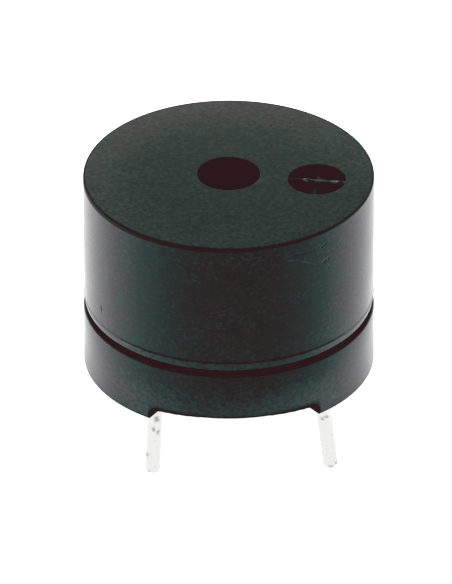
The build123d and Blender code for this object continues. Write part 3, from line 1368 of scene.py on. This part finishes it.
@dataclass
class Studio:
    """A plain pale light table in a plain soft room. Lengths are in millimetres.

    The table's brightness, where 1 is white, is near under the object. Between the two radii of
    near_reach it goes over into rounds, which is its brightness by direction, as degrees from the front,
    positive to the right. In front it falls off between the first two of fall, to the third. It is
    close_by brighter close to both sides, as much again at the right, and wide brighter further out.
    walls is the room's brightness from straight down (0) to straight up (1), warmth its colour, and
    behind_camera its even colour on the camera's side.
    """

    table_height: float = -5.68
    table_size: float = 4000.0
    near: float = 1.04
    near_reach: tuple[float, float] = (9.0, 16.0)
    rounds: Curve = (
        (-180, 2.2), (-150, 2.4), (-120, 2.7), (-80, 2.75), (-60, 2.3), (-45, 1.55), (-30, 1.1), (0, 1.0),
        (30, 0.84), (45, 1.17), (60, 1.75), (80, 2.3), (120, 2.35), (150, 2.2), (180, 2.2),
    )
    fall: tuple[float, float, float] = (25.0, 31.0, 0.78)
    close_by: float = 0.1
    wide: float = 0.08
    walls: Curve = ((0.0, 1.5), (0.3, 1.6), (0.5, 1.25), (0.6, 0.9), (0.75, 0.3), (1.0, 0.2))
    warmth: Colour = (1.1, 1.0, 0.88)
    behind_camera: Colour = (0.35, 0.35, 0.35)

    def make(self) -> None:
        """Lays the table and fills the room with light."""
        self.lay_table()
        self.fill_room()

    def lay_table(self) -> None:
        """Makes the table, which glows upwards only and is clear from below."""
        Workbench.clear()
        place = (0.0, 0.0, self.table_height * MM)
        size = self.table_size * MM
        bpy.ops.mesh.primitive_grid_add(x_subdivisions=8, y_subdivisions=8, size=size, location=place)
        table = bpy.context.object
        table.name = "light_table"
        bpy.ops.object.transform_apply(location=True)
        paint = Paint("pale light table")
        x, y, _ = paint.place()
        away = Reading.length(x, y)
        full = max(glow for _, glow in self.rounds)
        turn = x.math("ARCTAN2", y * -1.0) / math.tau + 0.5
        stops = [(0.5 + degrees / 360, (glow / full,) * 3) for degrees, glow in self.rounds]
        ramp = paint.add("ShaderNodeValToRGB", {"stops": stops}, {0: turn}).outputs[0]
        start, end, low = self.fall
        front = y.ease(0.0, -14.0) * (1 - low)
        share = 1.0 - away.ease(start, end) * front + away.ease(3 * end, 5 * end) * front
        share = share + away.ease(20.5, 17.0) * (x.ease(3.0, 10.0) + abs(x).ease(3.0, 10.0)) * self.close_by
        share = share + away.ease(25.0, 30.0) * abs(x).ease(10.0, 20.0) * self.wide
        around = paint.read("ShaderNodeSeparateColor", values={0: ramp}) * share * full
        reach = away.ease(*self.near_reach)
        glow = around * reach + (1.0 - reach) * self.near
        paint.set("Specular IOR Level", 0.0)
        paint.set("Emission Color", paint.blend(glow / full, BLACK, WHITE))
        paint.set("Emission Strength", full)
        under = paint.add("ShaderNodeNewGeometry").outputs["Backfacing"]
        paint.cover(under, paint.add("ShaderNodeBsdfTransparent"))
        table.data.materials.append(paint.finish((0.08, 0.08, 0.08), 0.9))

    def fill_room(self) -> None:
        """Gives the room a soft light that is brightest low down behind the object and dim overhead."""
        world = bpy.data.worlds.new("soft room")
        bpy.context.scene.world = world
        world.use_nodes = True
        board = NodeBoard(world.node_tree)
        _, y, z = board.split(board.add("ShaderNodeTexCoord").outputs["Generated"])
        stops = [(place, tuple(level * part for part in self.warmth)) for place, level in self.walls]
        height = board.add("ShaderNodeValToRGB", {"stops": stops}, {0: z}).outputs[0]
        back = board.read("ShaderNodeMapRange", values={"Value": y, "From Min": -0.5, "From Max": 0.2})
        light = board.blend(back, self.behind_camera, height)
        board.feed(world.node_tree.nodes["Background"].inputs["Color"], light)


def dress(piece: Piece, material: Material, slot: str | None = None) -> None:
    """Gives a piece its one material, and attaches it to the body where it is a new piece.

    Args:
        piece: A modelled piece or a CAD node.
        material: What it is made of.
        slot: Given for a new piece, which is then attached to the body.
    """
    piece.data.materials.clear()
    piece.data.materials.append(material)
    if slot is not None:
        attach(piece, BODY)
    log.info("%s: %s, %d faces", piece.name, material.name, len(piece.data.polygons))


def build_case() -> None:
    """Models both halves of the case and dresses them."""
    case = UpperCase()
    upper = MouldedBlack(
        name="black moulded cup",
        face_height=case.top - 0.02,
        radius=case.wall,
        strokes=(
            Stroke((23.5, 8.03), (32.8, 7.97), 0.06, 0.8, Mark.GOUGE),
            Stroke((21.5, 7.86), (27.0, 7.66), 0.05, 0.26, Mark.RUB),
            Stroke((27.0, 7.66), (33.8, 7.27), 0.06, 0.26, Mark.RUB),
            Stroke((37.9, 7.22), (39.9, 7.28), 0.12, 0.8, Mark.GOUGE),
            Stroke((39.8, 7.05), (40.2, 6.98), 0.07, 0.5, Mark.RUB),
            Stroke((36.6, 7.99), (38.6, 8.03), 0.07, 0.6, Mark.GOUGE),
            Stroke((-17.9, 8.33), (-17.1, 8.32), 0.05, 0.4, Mark.RUB),
            Stroke((-63.4, 4.1), (-62.7, 3.9), 0.1, 0.8, Mark.GOUGE),
            Stroke((-62.2, 4.05), (-61.9, 3.85), 0.07, 0.6, Mark.RUB),
            Stroke((-58.4, 6.2), (-58.8, 5.7), 0.05, 0.25, Mark.RUB),
            Stroke((-58.8, 5.7), (-57.7, 5.25), 0.05, 0.25, Mark.RUB),
        ),
        smears=((16.0, 5.6, 2.6, 2.6), (2.0, 6.8, 1.8, 1.2)),
        # Painted shade: a dark strip along the rim, widest in front and fading at the sides.
        edges=(ShadeEdge(case.top - 0.16, 9.0, case.wall - 0.08, 0.014, 0.05, 0.2),),
        # Painted reflection: the wall under the parting line is paler.
        band_reflection_height=case.parting - 0.02,
        # Painted sheen on the face towards its edge.
        edge_sheen=0.048,
        bar_turn=case.mark_turn,
        # Painted highlights on the crest of the mark's radial bar.
        crest_highlights=((3.25, 0.22, 1.0), (3.7, 0.25, 0.5), (4.0, 0.16, 0.35), (4.36, 0.24, 0.9), (4.78, 0.08, 0.5)),
        cross_at=case.mark_distance,
    )
    dress(case.make(), upper.make(), upper.slot)
    foot = LowerCase()
    half = math.radians(90.0 - foot.lug_half_angle) * foot.outer
    lower = MouldedBlack(
        name="black moulded foot",
        face_height=9.0,
        radius=6.0,
        strokes=(Stroke((42.4, 0.52), (43.3, 0.51), 0.12, 0.5, Mark.RUB),),
        smears=((0.0, 1.9, 1.5, 0.8), (-12.0, 1.6, 1.2, 0.7)),
        # Painted shade along the foot's lower edge and the edges of the notches.
        edges=(ShadeEdge(-1.0, 0.08, 5.9), ShadeNotch(half, foot.lug - 0.02, foot.corner)),
        # Painted sheen on the foot over the notches.
        foot_sheen=0.028,
    )
    dress(foot.make(), lower.make(), lower.slot)


def build_terminals() -> None:
    """Models the pins and the solder and dresses them."""
    pins = (
        (
            Pin("positive", 1.0, 3.57, 6.4),
            (
                (4.02, -0.29, -3.04, 0.12), (3.85, -0.27, -3.19, 0.1),
                (4.46, -0.18, -5.36, 0.1), (4.21, -0.30, -5.51, 0.12),
            ),
        ),
        (
            Pin("negative", -1.0, -2.93, 2.6),
            (
                (-3.02, -0.29, -2.94, 0.15), (-3.15, -0.30, -3.44, 0.11), (-2.95, -0.25, -3.57, 0.12),
                (-3.44, -0.12, -4.75, 0.14), (-3.39, -0.23, -5.63, 0.14),
            ),
        ),
    )
    solder = Solder().make()
    for pin, patches in pins:
        wire = TinnedWire(f"tinned wire of the {pin.sign} pin", patches)
        dress(pin.make(), wire.make(), wire.slot)
        dress(SolderJoint(pin.sign, pin.across).make(), solder, Solder.slot)
    away, turn = 3.22, math.radians(55.0)
    for lead, side in (("coil_start", 1.0), ("coil_finish", -1.0)):
        place = (side * away * math.cos(turn), side * away * math.sin(turn))
        dress(LeadDot(lead, place).make(), solder, Solder.slot)


def dress_inside() -> None:
    """Gives every node that keeps its own mesh its material."""
    wearers = (
        (PhenolicBoard(), ("circuit_board",)),
        (CopperFoil(), ("positive_land", "negative_land")),
        (SealingResin(), ("sealing_compound",)),
        (PlatedSteel(), ("yoke_plate", "pole_core")),
        (SpringSteel(), ("diaphragm", "armature_disc")),
        (EnamelledWire(), ("coil_winding", "coil_start_lead", "coil_finish_lead")),
        (Ferrite(), ("ring_magnet",)),
    )
    for finish, names in wearers:
        material = finish.make()
        for name in names:
            dress(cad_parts[name], material)


def main() -> None:
    """Sets the camera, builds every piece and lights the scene."""
    logging.basicConfig(level=logging.INFO, format="%(name)s: %(message)s")
    PhotoCamera().make()
    build_case()
    build_terminals()
    dress_inside()
    Studio().make()
    PhotoGrade().make()


if __name__ == "__main__":
    main()
